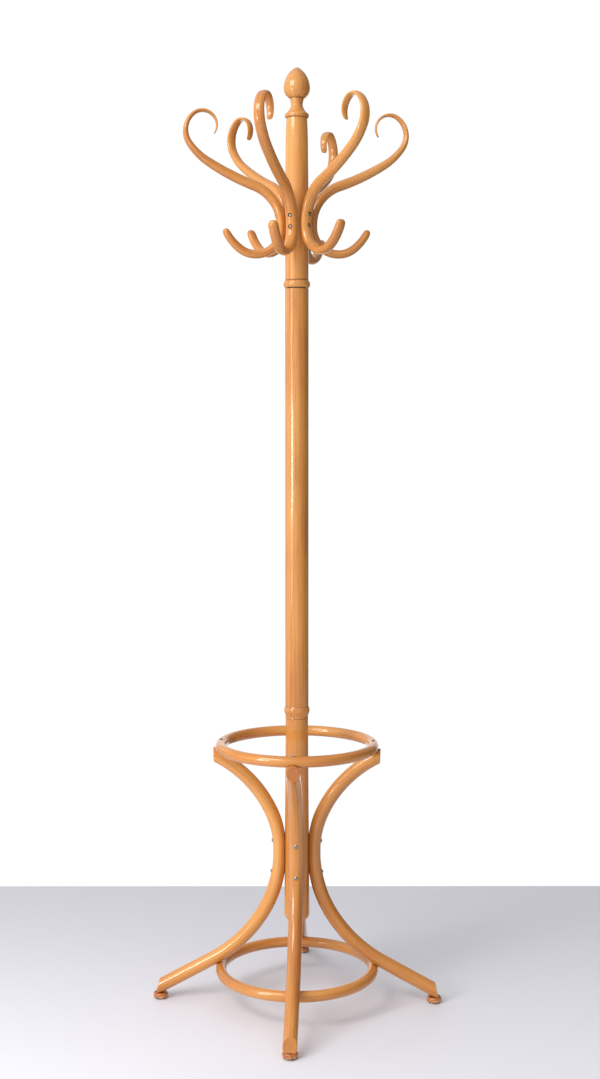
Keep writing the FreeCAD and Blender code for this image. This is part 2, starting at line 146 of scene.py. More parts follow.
def walk(bends, point, heading, outward, run):
    """Distances, points and headings along tangent arcs from a seat, a ring's step apart."""
    distance, rows = 0.0, []
    point = np.array(point, float)
    for radius, angle in bends:
        turn = math.radians(angle) * outward
        side = math.copysign(radius, turn)
        centre = point + np.array([-math.sin(heading), math.cos(heading)]) * side
        count = math.ceil(radius * abs(turn) / ROD_STEP)
        for k in range(1, count + 1):
            now = heading + turn * k / count
            point = centre + np.array([math.sin(now), -math.cos(now)]) * side
            rows.append((distance + radius * abs(turn) * k / count, *point, now))
        distance += radius * abs(turn)
        heading = now
    for k in range(1, math.ceil(run / ROD_STEP) + 1):
        ahead = min(k * ROD_STEP, run)
        place = point + np.array([math.cos(heading), math.sin(heading)]) * ahead
        rows.append((distance + ahead, *place, heading))
    return rows


def centre_line(rod):
    """Rows of (distance, x, z, heading) from the rod's low end to its high end."""
    seat, low, high = rod["seat"]
    down = walk(rod["down"], (seat, low), -math.pi / 2, 1, rod["run"])
    up = walk(rod["up"], (seat, high), math.pi / 2, -1, 0)
    rows = [(-s, x, z, heading + math.pi) for s, x, z, heading in reversed(down)]
    middle = [(0.0, seat, low + (high - low) * k / 4, math.pi / 2) for k in range(5)]
    return np.array(rows + middle + up)


# ---------------------------------------------------------------- meshes

def add_mesh(name, verts, faces, grain, tone, end=None, painted_shade=None, sharp=38):
    """A shaded mesh object in the row frame, with the attributes that its wood is drawn from."""
    mesh = bpy.data.meshes.new(name)
    mesh.from_pydata([tuple(v) for v in verts], [], faces)
    shaped = bmesh.new()
    shaped.from_mesh(mesh)
    bmesh.ops.recalc_face_normals(shaped, faces=shaped.faces)
    shaped.to_mesh(mesh)
    shaped.free()
    count = len(verts)
    ends = np.zeros(count) if end is None else end
    painted_shades = np.zeros(count) if painted_shade is None else painted_shade
    made = mesh.attributes.new("grain", "FLOAT_VECTOR", "POINT")
    made.data.foreach_set("vector", np.asarray(grain, np.float32).ravel())
    # Beside the grain, each point carries how sawn or worn it is, how much painted shade darkens it, and its
    # piece's tone.
    for label, values in (("end", ends), ("painted_shade", painted_shades), ("tone", np.full(count, tone))):
        made = mesh.attributes.new(label, "FLOAT", "POINT")
        made.data.foreach_set("value", np.asarray(values, np.float32))
    for polygon in mesh.polygons:
        polygon.use_smooth = True
    mesh.set_sharp_from_angle(angle=math.radians(sharp))
    piece = bpy.data.objects.new(name, mesh)
    bpy.context.scene.collection.objects.link(piece)
    return piece


def turned_about(points, degrees):
    """Points turned about the Z axis."""
    c, s = math.cos(math.radians(degrees)), math.sin(math.radians(degrees))
    x, y, z = np.asarray(points).T
    return np.stack([c * x - s * y, s * x + c * y, z], 1)


# Painted shade on turned pieces: in their inner corners and incised lines, and along the seams to the next
# piece.
DEEP_CORNER = 80        # degrees of turn that make an inner corner fully dark
CREASE_REACH = 1.5      # how far the dark of a corner, and of a seam, spreads
SEAM_REACH = 0.8
SEAM_DARK = 0.75
SCORE_DARK = 0.9


def hollows(points):
    """The sharp inner corners of an outline: their places and how far each one turns, from 0 to 1."""
    found = []
    for before, here, after in zip(points, points[1:], points[2:]):
        into, away = here - before, after - here
        turn = math.atan2(into[0] * away[1] - into[1] * away[0], into @ away)
        if turn < -math.radians(SHARP_EDGE):
            found.append((*here, min(1, -turn / math.radians(DEEP_CORNER))))
    return found


def crease_shade(profile, creases, seams):
    """How much painted shade darkens each profile point, 0 to 1: in the creases, and along the seams to the
    next piece.
    """
    painted_shade = np.zeros(len(profile))
    for radius, height, depth in creases:
        away = np.hypot(profile[:, 0] - radius, profile[:, 1] - height)
        painted_shade = np.maximum(painted_shade, depth * np.exp(-(away / CREASE_REACH) ** 2))
    for height in seams:
        painted_shade = np.maximum(painted_shade, SEAM_DARK * np.exp(-((profile[:, 1] - height) / SEAM_REACH) ** 2))
    return painted_shade


def scored(profile, scores):
    """The outline with V cuts in it; a score is (z, depth, half its width)."""
    for middle, depth, half in scores:
        cut = np.clip(1 - np.abs(profile[:, 1] - middle) / half, 0, 1) * depth
        profile[:, 0] -= np.where(profile[:, 0] > 2 * depth, cut, 0)
    return profile


def lathe(name, corners, lift, tone, place=(0, 0), step=0.6, edge=0.5, sides=TURNED_SIDES, scores=(),
          seams=(), worn=0):
    """A turned piece from an outline that starts and ends on its axis; worn is how high its wear reaches."""
    drawn = trace(corners, step)
    profile = scored(eased(drawn, edge), scores)
    creases = hollows(drawn)
    for height, *_ in scores:
        creases.append((np.interp(height, profile[:, 1], profile[:, 0]), height, SCORE_DARK))
    # Painted shade in the creases and incised lines, and along the seams.
    painted_shade = crease_shade(profile, creases, seams)
    angles = np.arange(sides) * 2 * math.pi / sides
    verts, ring_of, painted_shades = [], [], []
    for (radius, height), amount in zip(profile, painted_shade):
        if radius < 1e-6:
            ring_of.append([len(verts)])
            verts.append((0, 0, height))
            painted_shades.append(0)
            continue
        ring_of.append(list(range(len(verts), len(verts) + sides)))
        verts += [(radius * math.cos(a), radius * math.sin(a), height) for a in angles]
        painted_shades += [amount] * sides
    faces = []
    for lower, upper in zip(ring_of, ring_of[1:]):
        for k in range(sides):
            n = (k + 1) % sides
            if len(lower) == 1:
                faces.append((lower[0], upper[n], upper[k]))
            elif len(upper) == 1:
                faces.append((lower[k], lower[n], upper[0]))
            else:
                faces.append((lower[k], lower[n], upper[n], upper[k]))
    verts = np.array(verts, float)
    wear = np.clip(1 - verts[:, 2] / max(worn, 1e-3), 0, 1)
    verts += np.array([*place, lift])
    grain = (verts - np.array([*place, 0])) * MM + np.array([0.11 * tone, 0.05, 1.7 * tone])
    return add_mesh(name, verts * MM, faces, grain, tone, end=wear, painted_shade=np.array(painted_shades))


# ---------------------------------------------------------------- bent rods

ROD_AROUND = np.arange(ROD_SIDES) * 2 * math.pi / ROD_SIDES
CUT_EDGE = {"reach": 1.4, "loss": (1.4, 1.4)}
HOOK_LOW_TIP = {"reach": 7.0, "loss": (5.6, 4.4), "past": None}
HOOK_HIGH_TIP = {"reach": 6.5, "loss": (4.6, 0.7), "past": None}
CAP_SHARES = (0.15, 0.4, 0.7)
EDGE_ROWS = 8           # rows round the edge of an end
EVEN_RUN = 32           # how far from an end a rod's rows have evened out to rings
EVEN_ROWS = 12          # rows on that stretch
SAWN_ROWS = len(CAP_SHARES) + 3     # the cap's and the first of the edge's
SAWN_FOOT, SAWN_TOP = 0.35, 1.0     # how dark a leg's sawn ends are
CUT_SEARCH, CUT_STEP = 120, 0.25    # where along a rod the search for a cut starts, and its step
SIZE_BLUR = 8           # how far to each side a rod's listed sizes are evened out
RING_STEP = 4.0         # distance between a closed ring's rows


def leg_top_cut(x, z):
    """How far a point lies past the upright cut across a leg's top."""
    return x - LEG_TOP_REACH


def leg_foot_cut(x, z):
    """How far a point lies past the leaning cut across a leg's foot."""
    return x + z * math.tan(math.radians(LEG_FOOT_RAKE)) - LEG_FOOT_REACH


def widths_at(rod, distances):
    """Half the width and half the depth of a rod at distances along it, eased between the listed places."""
    listed = np.array(rod["sections"], float)
    fine = np.arange(listed[0, 0], listed[-1, 0] + 1)
    window = 2 * SIZE_BLUR + 1
    halves = []
    for column in (1, 2):
        values = np.pad(np.interp(fine, listed[:, 0], listed[:, column]) / 2, SIZE_BLUR, mode="edge")
        evened = np.convolve(values, np.ones(window) / window, "valid")
        halves.append(np.interp(distances, fine, evened))
    return halves


def skin(rod, distances, around, loss=(0, 0)):
    """Points on a rod's skin at distances along it and angles around it."""
    line = rod["line"]
    x, z, heading = (np.interp(distances, line[:, 0], line[:, k]) for k in (1, 2, 3))
    half_width, half_depth = widths_at(rod, distances)
    across = np.sin(around) * (half_width - loss[0])
    out = np.cos(around) * (half_depth - loss[1])
    return np.stack([x - out * np.sin(heading), across, z + out * np.cos(heading)], -1)


def wood_at(rod, points):
    """Places in a rod's wood: out of the bend, across it, and along the rod."""
    line = rod["line"]
    away = (points[:, None, 0] - line[None, :, 1]) ** 2 + (points[:, None, 2] - line[None, :, 2]) ** 2
    distance, x, z, heading = line[np.argmin(away, axis=1)].T
    over_x, over_z = points[:, 0] - x, points[:, 2] - z
    ahead = over_x * np.cos(heading) + over_z * np.sin(heading)
    out = over_z * np.cos(heading) - over_x * np.sin(heading)
    return np.stack([out, points[:, 1], distance + ahead], 1)


def end_distances(rod, past, outwards):
    """Where each line along the skin stops: at the rod's own end, or where it first runs past a cut."""
    first, last = rod["line"][0, 0], rod["line"][-1, 0]
    if past is None:
        return np.full(ROD_SIDES, last if outwards > 0 else first)
    stop = last if outwards > 0 else first
    path = np.arange(outwards * CUT_SEARCH, stop, outwards * CUT_STEP)
    points = skin(rod, path[:, None] + 0 * ROD_AROUND, ROD_AROUND + 0 * path[:, None])
    return path[np.argmax(past(points[..., 0], points[..., 2]) > 0, axis=0)]


def end_rows(rod, end, outwards, inner):
    """Rows from a rounded or cut end inwards: cap, rounded edge, and lines that even out to inner."""
    reach, (wide, deep) = end["reach"], end["loss"]
    limit = end_distances(rod, end["past"], outwards)
    made = []
    for quarter in np.linspace(0, math.pi / 2, EDGE_ROWS):
        lost = 1 - math.sin(quarter)
        here = limit - outwards * reach * (1 - math.cos(quarter))
        made.append(skin(rod, here, ROD_AROUND, (wide * lost, deep * lost)))
    start = limit - outwards * reach
    for share in np.linspace(0, 1, EVEN_ROWS + 2)[1:-1]:
        made.append(skin(rod, start + (inner - start) * share, ROD_AROUND))
    centre = made[0].mean(axis=0)
    return [centre + (made[0] - centre) * share for share in CAP_SHARES] + made


def band_faces(rows, sides, closed=False):
    """Quads between neighbouring rows of points, each row a loop."""
    faces = []
    for row in range(rows if closed else rows - 1):
        low, high = row * sides, (row + 1) % rows * sides
        for k in range(sides):
            n = (k + 1) % sides
            faces.append((low + k, low + n, high + n, high + k))
    return faces


def rod_mesh(rod, low_end, high_end):
    """A bent rod's points and faces, and which points lie on its sawn ends."""
    inner_low = end_distances(rod, low_end["past"], -1).max() + EVEN_RUN
    inner_high = end_distances(rod, high_end["past"], 1).min() - EVEN_RUN
    count = math.ceil((inner_high - inner_low) / ROD_STEP) + 1
    places = np.linspace(inner_low, inner_high, count)
    middle = [skin(rod, np.full(ROD_SIDES, place), ROD_AROUND) for place in places]
    rows = end_rows(rod, low_end, -1, inner_low) + middle + end_rows(rod, high_end, 1, inner_high)[::-1]
    sawn = np.zeros(len(rows))
    if low_end["past"]:
        sawn[:SAWN_ROWS] = SAWN_FOOT
        sawn[-SAWN_ROWS:] = SAWN_TOP
    faces = band_faces(len(rows), ROD_SIDES)
    last = (len(rows) - 1) * ROD_SIDES
    faces.append(tuple(range(ROD_SIDES - 1, -1, -1)))
    faces.append(tuple(range(last, last + ROD_SIDES)))
    return np.concatenate(rows), faces, np.repeat(sawn, ROD_SIDES)


def plain_piece(name, verts, faces):
    """A mesh object in millimetres, only for shaping."""
    mesh = bpy.data.meshes.new(name)
    mesh.from_pydata([tuple(v) for v in verts], [], faces)
    piece = bpy.data.objects.new(name, mesh)
    bpy.context.scene.collection.objects.link(piece)
    return piece


def drill_mesh(holes, radius, length):
    """Round bars along X that start at each hole's floor."""
    across, up = radius * np.cos(ROD_AROUND), radius * np.sin(ROD_AROUND)
    verts, faces = [], []
    for x, z in holes:
        start = len(verts) * ROD_SIDES
        for reach in (0, length):
            verts.append(np.stack([np.full(ROD_SIDES, x + reach), across, z + up], 1))
        faces += [tuple(start + k for k in face) for face in band_faces(2, ROD_SIDES)]
        faces.append(tuple(range(start + ROD_SIDES - 1, start - 1, -1)))
        faces.append(tuple(range(start + ROD_SIDES, start + 2 * ROD_SIDES)))
    return np.concatenate(verts), faces


def bored(verts, faces, holes, radius):
    """The same points and faces with round holes sunk into them from outside."""
    blank = plain_piece("blank", verts, faces)
    drill = plain_piece("drill", *drill_mesh(holes, radius, DRILL_LENGTH))
    for piece in (blank, drill):
        shaped = bmesh.new()
        shaped.from_mesh(piece.data)
        bmesh.ops.recalc_face_normals(shaped, faces=shaped.faces)
        shaped.to_mesh(piece.data)
        shaped.free()
    cutting = blank.modifiers.new("bore", "BOOLEAN")
    cutting.operation, cutting.solver, cutting.object = "DIFFERENCE", "EXACT", drill
    cut = bpy.data.meshes.new_from_object(blank.evaluated_get(bpy.context.evaluated_depsgraph_get()))
    left = np.array([v.co[:] for v in cut.vertices])
    sides = [tuple(polygon.vertices) for polygon in cut.polygons]
    for piece in (blank, drill):
        mesh = piece.data
        bpy.data.objects.remove(piece)
        bpy.data.meshes.remove(mesh)
    bpy.data.meshes.remove(cut)
    return left, sides


def bent_rod(name, rod, blank, turn, tone, fit, shade, mount=(0, 0)):
    """A bent rod set on its seat, pressed against what it touches and turned about the post."""
    verts, faces, sawn = blank
    grain = wood_at(rod, verts) * MM + np.array([0.13 * tone, -0.07 * tone, 2.3 * tone])
    # Painted shade where the rod meets other pieces, and on the floors of a hook's screw holes.
    painted_shade = shade(verts)
    verts = fit(mounted(verts, *mount))
    return add_mesh(name, turned_about(verts, turn) * MM, faces, grain, tone, sawn, painted_shade, sharp=45)


def mounted(points, tilt, lift):
    """Points of a hook tilted towards the post about the middle of its seat, then lifted."""
    seat, low, high = HOOK["seat"]
    middle = (low + high) / 2
    c, s = math.cos(math.radians(tilt)), math.sin(math.radians(tilt))
    x, z = points[:, 0] - seat, points[:, 2] - middle
    return np.stack([seat + c * x - s * z, points[:, 1], middle + lift + s * x + c * z], 1)


def pressed_to_post(points, radius_at, gap=0.05):
    """Points that lie inside the post, moved straight out to its skin."""
    reach = np.hypot(points[:, 0], points[:, 1])
    wanted = radius_at(points[:, 2]) + gap
    scale = np.where(reach < wanted, wanted / np.maximum(reach, 1), 1)
    return points * np.stack([scale, scale, np.ones(len(points))], 1)


def pressed_to_ring(points, ring, gap=0.05):
    """Points that lie inside a ring's tube, moved straight out to its skin."""
    reach = np.hypot(points[:, 0], points[:, 1])
    out, up = reach - ring["radius"], points[:, 2] - ring["height"]
    away = np.hypot(out, up)
    scale = np.where(away < RING_TUBE + gap, (RING_TUBE + gap) / np.maximum(away, 1), 1)
    wide = (ring["radius"] + out * scale) / reach
    return np.stack([points[:, 0] * wide, points[:, 1] * wide, ring["height"] + up * scale], 1)


def near_ring(points, ring, reach):
    """1 on a ring's skin, falling to 0 at a distance from it."""
    out = np.hypot(points[:, 0], points[:, 1]) - ring["radius"]
    away = np.hypot(out, points[:, 2] - ring["height"]) - RING_TUBE
    return np.clip(1 - away / reach, 0, 1)


def near_post(points, radius_at, reach):
    """1 on the post's skin, falling to 0 at a distance from it."""
    away = np.hypot(points[:, 0], points[:, 1]) - radius_at(points[:, 2])
    return np.clip(1 - away / reach, 0, 1)


def head_radius(z):
    """Radius of the head's post beside the hooks' seats."""
    return np.interp(z, [SWIVEL + 176, SWIVEL + 274], [23.7, 22.7])


def base_radius(z):
    """Radius of the lower post at a height."""
    return np.interp(z, [POST_END, POST_END + 13, SPLICE], [20.8, 26.1, 23.1])


def closed_ring(name, ring, tone):
    """A rod bent into a closed circle around the post, its grain running round with it."""
    count = math.ceil(2 * math.pi * ring["radius"] / RING_STEP)
    turns = np.repeat(np.arange(count) * 2 * math.pi / count, ROD_SIDES)
    around = np.tile(ROD_AROUND, count)
    out, up = RING_TUBE * np.cos(around), RING_TUBE * np.sin(around)
    reach = ring["radius"] + out
    verts = np.stack([reach * np.cos(turns), reach * np.sin(turns), ring["height"] + up], 1)
    wood = np.stack([out, up, ring["radius"] * turns], 1)
    grain = wood * MM + np.array([0.17 * tone, 0.09, 3.1 * tone])
    return add_mesh(name, verts * MM, band_faces(count, ROD_SIDES, closed=True), grain, tone)


# ---------------------------------------------------------------- screws

SCREW_SIDES = 48
SCREWS = {
    # head diameter, rise of its dome, shank diameter, length
    "hook": (7.2, 2, 4.5, 28), "leg": (9.5, 3.2, 6, 40), "ring": (8, 2, 4.5, 36), "foot": (8, 2, 4, 24),
}
THREAD_PITCH, THREAD_DEPTH = 1.8, 0.35
PLAIN_SHANK = 4         # length without a thread, under the head
CROSS_ARM, CROSS_HALF_ARM = 0.3, 0.065      # the driver recess, as shares of the head's diameter
CROSS_FLOOR = 0.58      # height of its floor, as a share of the dome's rise
DOME_POWER = 0.62       # 0.5 would make the dome half an ellipse


def cross_radius(around, arm, half_arm):
    """Distance to the edge of a four-armed driver recess at an angle."""
    nearest = np.abs((around + math.pi / 4) % (math.pi / 2) - math.pi / 4)
    return np.minimum(arm, half_arm / np.maximum(np.sin(nearest), 0.05))


def screw_mesh(kind):
    """Points and faces of a round-headed screw along X, with the flat side of its head at x = 0."""
    head, rise, shank, length = SCREWS[kind]
    around = np.arange(SCREW_SIDES) * 2 * math.pi / SCREW_SIDES
    half = head / 2
    cross = cross_radius(around, CROSS_ARM * head, CROSS_HALF_ARM * head)

    def dome(reach):
        return rise * (1 - (reach / half) ** 2) ** DOME_POWER

    floor = CROSS_FLOOR * rise
    loops = []
    for share in (0.25, 0.6, 0.9):
        loops.append((cross * share, np.full(SCREW_SIDES, floor - 0.25 * rise * (1 - share))))
    loops.append((cross * 0.97, dome(cross) - 0.12))
    loops.append((cross * 1.04, dome(cross * 1.04)))
    for share in (0.2, 0.45, 0.7, 0.88, 0.97):
        reach = cross + (half - cross) * share
        loops.append((reach, dome(np.minimum(reach, half * 0.985))))
    crest, root = shank / 2, shank / 2 - THREAD_DEPTH
    plain = [(half, 0.12 * rise), (half - 0.1, 0), (crest, 0)]
    for turn in range(int((length - shank - PLAIN_SHANK) / THREAD_PITCH)):
        start = -PLAIN_SHANK - turn * THREAD_PITCH
        plain += [(root, start), (crest, start - 0.56), (crest, start - 0.72)]
    plain += [(root, shank - length), (0.15, -length)]
    loops += [(np.full(SCREW_SIDES, radius), np.full(SCREW_SIDES, x)) for radius, x in plain]
    verts = np.concatenate([np.stack([x, r * np.cos(around), r * np.sin(around)], 1) for r, x in loops])
    faces = [tuple(reversed(f)) for f in band_faces(len(loops), SCREW_SIDES)]
    last = (len(loops) - 1) * SCREW_SIDES
    faces.append(tuple(range(SCREW_SIDES)))
    faces.append(tuple(range(last + SCREW_SIDES - 1, last - 1, -1)))
    return verts, faces


def screw_set(name, kind, seats, places, body, material):
    """One piece for a CAD node of screws; a seat is (x, z, tilt up from +X, spin about the screw)."""
    verts, faces = screw_mesh(kind)
    all_verts, all_faces, grains = [], [], []
    for turn, lean, lift in places:
        for x, z, tilt, spin in seats:
            driven = math.radians(spin + 0.37 * turn)       # no two screws stop at the same angle
            c, s = math.cos(driven), math.sin(driven)
            spun = verts @ np.array([[1, 0, 0], [0, c, s], [0, -s, c]])
            c, s = math.cos(math.radians(tilt)), math.sin(math.radians(tilt))
            placed = spun @ np.array([[c, 0, s], [0, 1, 0], [-s, 0, c]]) + np.array([x, 0, z])
            start = sum(len(part) for part in all_verts)
            all_verts.append(turned_about(mounted(placed, lean, lift), turn))
            all_faces += [tuple(start + index for index in face) for face in faces]
            grains.append(spun * MM)
    piece = add_mesh(name + "_steel", np.concatenate(all_verts) * MM, all_faces, np.concatenate(grains), 0,
                     sharp=35)
    return finished(piece, material, "screw_steel", body, name)


# ---------------------------------------------------------------- materials

def linear(red, green, blue):
    """A colour given in 0 to 255 as it looks on a screen, as the linear numbers that shaders use."""
    shares = [level / 255 for level in (red, green, blue)]
    return (*(((share + 0.055) / 1.055) ** 2.4 if share > 0.04 else share / 12.92 for share in shares), 1)


class Graph:
    """The nodes of one material or world, built with short calls that give back a node's output."""

    def __init__(self, owner):
        owner.use_nodes = True
        self.owner = owner
        self.tree = owner.node_tree
        self.tree.nodes.clear()

    def add(self, kind, inputs, **settings):
        node = self.tree.nodes.new("ShaderNode" + kind)
        for key, value in settings.items():
            setattr(node, key, value)
        for key, value in inputs.items():
            if isinstance(value, bpy.types.NodeSocket):
                self.tree.links.new(value, node.inputs[key])
            else:
                node.inputs[key].default_value = value
        return node

    def maths(self, operation, *values):
        return self.add("Math", dict(enumerate(values)), operation=operation).outputs[0]

    def vector(self, operation, *values):
        return self.add("VectorMath", dict(enumerate(values)), operation=operation).outputs[0]

    def attribute(self, name, output="Fac"):
        return self.add("Attribute", {}, attribute_name=name).outputs[output]

    def noise(self, place, scales, detail=2.0, roughness=0.5, output="Fac"):
        """Noise with its own scale, in waves per metre, for each direction in the wood."""
        stretched = self.vector("MULTIPLY", place, scales)
        inputs = {"Vector": stretched, "Scale": 1.0, "Detail": detail, "Roughness": roughness}
        return self.add("TexNoise", inputs).outputs[output]

    def span(self, value, low, high, bottom=0.0, top=1.0):
        """A value's place between two levels, from bottom to top, and flat beyond them."""
        inputs = {"Value": value, "From Min": low, "From Max": high, "To Min": bottom, "To Max": top}
        return self.add("MapRange", inputs, interpolation_type="SMOOTHSTEP").outputs["Result"]

    def ramp(self, value, stops):
        node = self.add("ValToRGB", {"Fac": value})
        elements = node.color_ramp.elements
        while len(elements) < len(stops):
            elements.new(1.0)
        for element, (place, colour) in zip(elements, stops):
            element.position = place
            element.color = colour
        return node.outputs["Color"]

    def mix(self, amount, one, other, blend="MIX"):
        node = self.add("Mix", {0: amount, 6: one, 7: other}, data_type="RGBA", blend_type=blend)
        return node.outputs[2]

    def bump(self, height, strength, distance):
        return self.add("Bump", {"Height": height, "Strength": strength, "Distance": distance}).outputs[0]

    def surface(self, inputs):
        shader = self.add("BsdfPrincipled", inputs)
        output = self.add("OutputMaterial", {"Surface": shader.outputs[0]})
        output.is_active_output = True
        return self.owner


def new_material(name):
    """An empty graph for a new material."""
    return Graph(bpy.data.materials.new(name))


# Noise waves per metre: across the wood, twice, and along it.
DRIFT = (15, 15, 2.2)
BLOTCHES = (11, 11, 3.2)
STREAKS = (170, 170, 4.5)
FIBRES = (1100, 1100, 18)
FLECKS = (1500, 1500, 230)
PORES = (3200, 3200, 110)
RUBBED = (190, 190, 330)
CHIPPED = (330, 330, 420)
HEART = (0.052, 0.021, 0)       # from the middle of a piece to the heart of its tree, in metres
LAYERS = 330                    # growth layers per metre
FIBRE_DEPTH = 0.0002            # in metres

UMBER = linear(112, 60, 24)
SAWN = linear(166, 84, 34)
BARE_WOOD = linear(226, 184, 136)
CHIP = linear(70, 34, 16)
# The deep brown of the painted shade in creases, recesses and where pieces meet.
SHADE_BROWN = linear(78, 36, 13)


def growth_layers(g, wandering):
    """The dark late wood of each growth layer, 0 to 1, in circles about the heart of the tree."""
    from_heart = g.vector("MULTIPLY_ADD", wandering, (1, 1, 0), HEART)
    distance = g.add("VectorMath", {0: from_heart}, operation="LENGTH").outputs["Value"]
    layer = g.maths("FRACT", g.maths("MULTIPLY", distance, LAYERS))
    return g.maths("MULTIPLY", g.span(layer, 0.35, 0.93), g.span(layer, 1.0, 0.93))


def wood_tone(g, blotch, streaks, fibres, late, streak):
    """How light the wood is, 0 to 1."""
    level = g.maths("MULTIPLY_ADD", g.maths("SUBTRACT", blotch, 0.5), 1.15, 0.47)
    level = g.maths("MULTIPLY_ADD", g.maths("SUBTRACT", streaks, 0.5), streak, level)
    level = g.maths("MULTIPLY_ADD", g.maths("SUBTRACT", fibres, 0.5), 0.4, level)
    return g.maths("MULTIPLY_ADD", late, -0.12, level)


def worn_wood(g, grain, wear, colour):
    """Varnish rubbed pale and chipped brown where wear is high: the colour, and how bare the wood is."""
    reach = g.maths("MULTIPLY", wear, 0.6)
    rubbed_noise = g.noise(grain, RUBBED, 4, 0.65)
    chip_noise = g.noise(grain, CHIPPED, 3, 0.6)
    rubbed = g.span(g.maths("MULTIPLY_ADD", rubbed_noise, 1.6, reach), 1.12, 1.24)
    chips = g.span(g.maths("MULTIPLY_ADD", chip_noise, 1.6, reach), 1.22, 1.28)
    colour = g.mix(g.maths("MULTIPLY", rubbed, 0.8), colour, BARE_WOOD)
    colour = g.mix(g.maths("MULTIPLY", chips, 0.9), colour, CHIP)
    return colour, g.maths("MAXIMUM", rubbed, chips)


def sawn_wood(g, fibres, sawn, colour):
    """Darker end grain where the rod is sawn: the colour, and how bare the wood is."""
    end_grain = g.mix(g.maths("MULTIPLY_ADD", fibres, 0.5, 0.35), colour, SAWN)
    return g.mix(sawn, colour, end_grain), g.maths("MULTIPLY", sawn, 0.4)


def beech(name, light, middle, dark, streak, gloss=1.0, worn=False):
    """Lacquered beech: growth layers, streaks and fibres along the grain, flecks, and painted shade in
    hollows and where pieces meet.

    The "end" attribute is a sawn end, or on a worn piece how much its varnish is rubbed and chipped.
    """
    g = new_material(name)
    grain, end = g.attribute("grain", "Vector"), g.attribute("end")
    drift = g.noise(grain, DRIFT, 2, output="Color")
    wandering = g.vector("MULTIPLY_ADD", drift, (0.012, 0.012, 0), grain)
    late = growth_layers(g, wandering)
    blotch = g.noise(grain, BLOTCHES, 3, 0.55)
    streaks = g.noise(wandering, STREAKS, 3, 0.6)
    fibres = g.noise(wandering, FIBRES, 3, 0.6)
    flecks = g.span(g.noise(wandering, FLECKS, 1, 0.5), 0.67, 0.76)
    pores = g.span(g.noise(wandering, PORES, 0, 0.5), 0.66, 0.8)

    level = wood_tone(g, blotch, streaks, fibres, late, streak)
    colour = g.ramp(level, [(0.08, dark), (0.5, middle), (0.92, light)])
    colour = g.mix(g.maths("MULTIPLY", flecks, 0.35), colour, UMBER)
    colour = g.mix(g.maths("MULTIPLY", pores, 0.2), colour, UMBER)
    if worn:
        colour, bare = worn_wood(g, grain, end, colour)
    else:
        colour, bare = sawn_wood(g, fibres, end, colour)
    # Painted shade: creases, recesses, seams and contacts are darkened towards a deep brown, patchy with the
    # blotches.
    patchy_shade = g.maths("MULTIPLY", g.attribute("painted_shade"), g.span(blotch, 0.25, 0.7, 0.6, 0.95))
    colour = g.mix(patchy_shade, colour, SHADE_BROWN)
    shade = g.maths("MULTIPLY_ADD", g.attribute("tone"), 0.05, 1.0)
    grey = g.add("CombineColor", {0: shade, 1: shade, 2: shade}).outputs[0]
    colour = g.mix(1.0, colour, grey, "MULTIPLY")

    rough = g.maths("MULTIPLY_ADD", bare, 0.3, g.maths("MULTIPLY_ADD", fibres, 0.14, 0.3))
    height = g.maths("ADD", g.maths("MULTIPLY", fibres, 0.6), g.maths("MULTIPLY", late, -0.25))
    height = g.maths("MULTIPLY_ADD", flecks, -0.5, height)
    return g.surface({
        "Base Color": colour, "Roughness": rough, "Normal": g.bump(height, 0.12, FIBRE_DEPTH),
        "Specular IOR Level": 0.3, "IOR": 1.5, "Coat Weight": gloss, "Coat Roughness": 0.08, "Coat IOR": 1.5,
    })


def steel(name, base, rough):
    """Plain steel: fine scratches and a little tarnish."""
    g = new_material(name)
    place = g.attribute("grain", "Vector")
    scratches = g.noise(place, (400, 2600, 2600), 3, 0.6)
    tarnish = g.noise(place, (260, 260, 260), 3, 0.6)
    colour = g.mix(g.span(tarnish, 0.45, 0.75), base, linear(122, 108, 92))
    roughness = g.maths("MULTIPLY_ADD", scratches, 0.22, rough)
    return g.surface({"Base Color": colour, "Metallic": 1.0, "Roughness": roughness,
                      "Normal": g.bump(scratches, 0.2, 0.00005)})


def dressed_node(name, light, dark, rough, metallic, scales):
    """A material for a CAD node that stays, drawn over the object's own space."""
    g = new_material(name)
    place = g.add("TexCoord", {}).outputs["Object"]
    fine = g.noise(place, scales, 3, 0.6)
    return g.surface({"Base Color": g.mix(fine, dark, light), "Metallic": metallic,
                      "Roughness": g.maths("MULTIPLY_ADD", fine, 0.25, rough),
                      "Normal": g.bump(fine, 0.2, 0.00008)})


# ---------------------------------------------------------------- the stand

def finished(piece, material, slot, body, *nodes):
    """Gives a piece its material and the body it rides on, and hides the CAD nodes it stands for; the slot
    is not used.
    """
    piece.data.materials.append(material)
    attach(piece, body)
    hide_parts(*nodes)
    return piece


turned_beech = beech("turned_beech", linear(234, 174, 98), linear(216, 148, 72), linear(182, 108, 42), 0.7)
bent_beech = beech("bent_beech", linear(232, 168, 86), linear(214, 142, 62), linear(178, 102, 34), 0.6)
foot_beech = beech("foot_beech", linear(212, 138, 76), linear(188, 110, 54), linear(146, 76, 34), 1.0,
                   gloss=0.6, worn=True)
screw_steel = steel("screw_steel", linear(176, 172, 160), 0.24)

